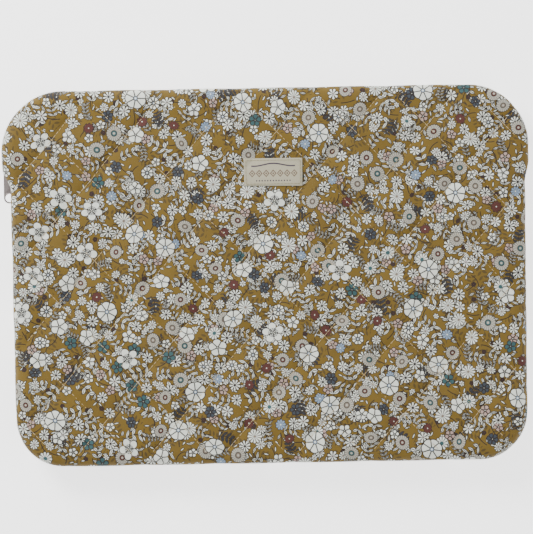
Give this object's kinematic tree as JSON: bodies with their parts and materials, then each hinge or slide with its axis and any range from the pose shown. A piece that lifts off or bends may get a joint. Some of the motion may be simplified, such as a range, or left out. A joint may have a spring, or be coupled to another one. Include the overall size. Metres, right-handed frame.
{
  "type": "laptop sleeve",
  "caption": "Flat padded quilted fabric sleeve with rounded corners, a zip round its top edge with a pull tab, a folding top flap and a small sewn label.",
  "frame": {"origin": "middle of the flat back face that the sleeve lies on", "axes": "+X to the right across the width, +Y towards the zipped top edge, +Z out of the printed front"},
  "size_m": [0.361, 0.257, 0.0254],
  "materials": {
    "printed_cotton": "woven cotton with a small printed flower pattern, matt",
    "batting": "soft fibre",
    "lining": "plain woven, matt",
    "thread": "twisted thread",
    "zip_tape": "woven herringbone tape, matt",
    "zip_coil": "satin",
    "zip_metal": "satin grey",
    "label_linen": "coarse plain weave, matt"
  },
  "bodies": {
    "sleeve_body": {"back_outer_fabric": "printed_cotton", "front_outer_fabric": "printed_cotton", "back_batting": "batting", "front_batting": "batting", "back_lining": "lining", "front_lining": "lining", "seam_binding": "lining", "back_quilting": "thread", "front_quilting": "thread", "zip_tape_back": "zip_tape", "zip_coil_back": "zip_coil", "zip_top_stop_front": "zip_metal", "zip_top_stop_back": "zip_metal", "zip_bottom_stop": "zip_metal", "label": "label_linen", "label_stitching": "thread"},
    "front_flap": {"flap_outer_fabric": "printed_cotton", "flap_batting": "batting", "flap_lining": "lining", "zip_tape_front": "zip_tape", "zip_coil_front": "zip_coil"},
    "slider": {"slider_body": "zip_metal", "slider_crown": "zip_metal", "slider_lock_spring": "zip_metal"},
    "link": {"connector_link": "zip_metal"},
    "tab": {"pull_tab": "zip_metal"}
  },
  "joints": [
    {"name": "flap_fold", "type": "hinge", "parent": "sleeve_body", "child": "front_flap", "pos_m": [0, 0.084, 0.024], "axis": [1, 0, 0], "range_deg": [0, 105]},
    {"name": "slider_travel", "type": "hinge", "parent": "sleeve_body", "child": "slider", "pos_m": [-0.14, 0.0865, 0.012], "axis": [0, 0, -1], "range_deg": [0, 86]},
    {"name": "link_swing", "type": "hinge", "parent": "slider", "child": "link", "pos_m": [-0.1781, 0.0846, 0.012], "axis": [0, 0, -1], "range_deg": [0, 60]},
    {"name": "tab_swing", "type": "hinge", "parent": "link", "child": "tab", "pos_m": [-0.1781, 0.0789, 0.012], "axis": [0, 0, -1], "range_deg": [0, 70]}
  ]
}
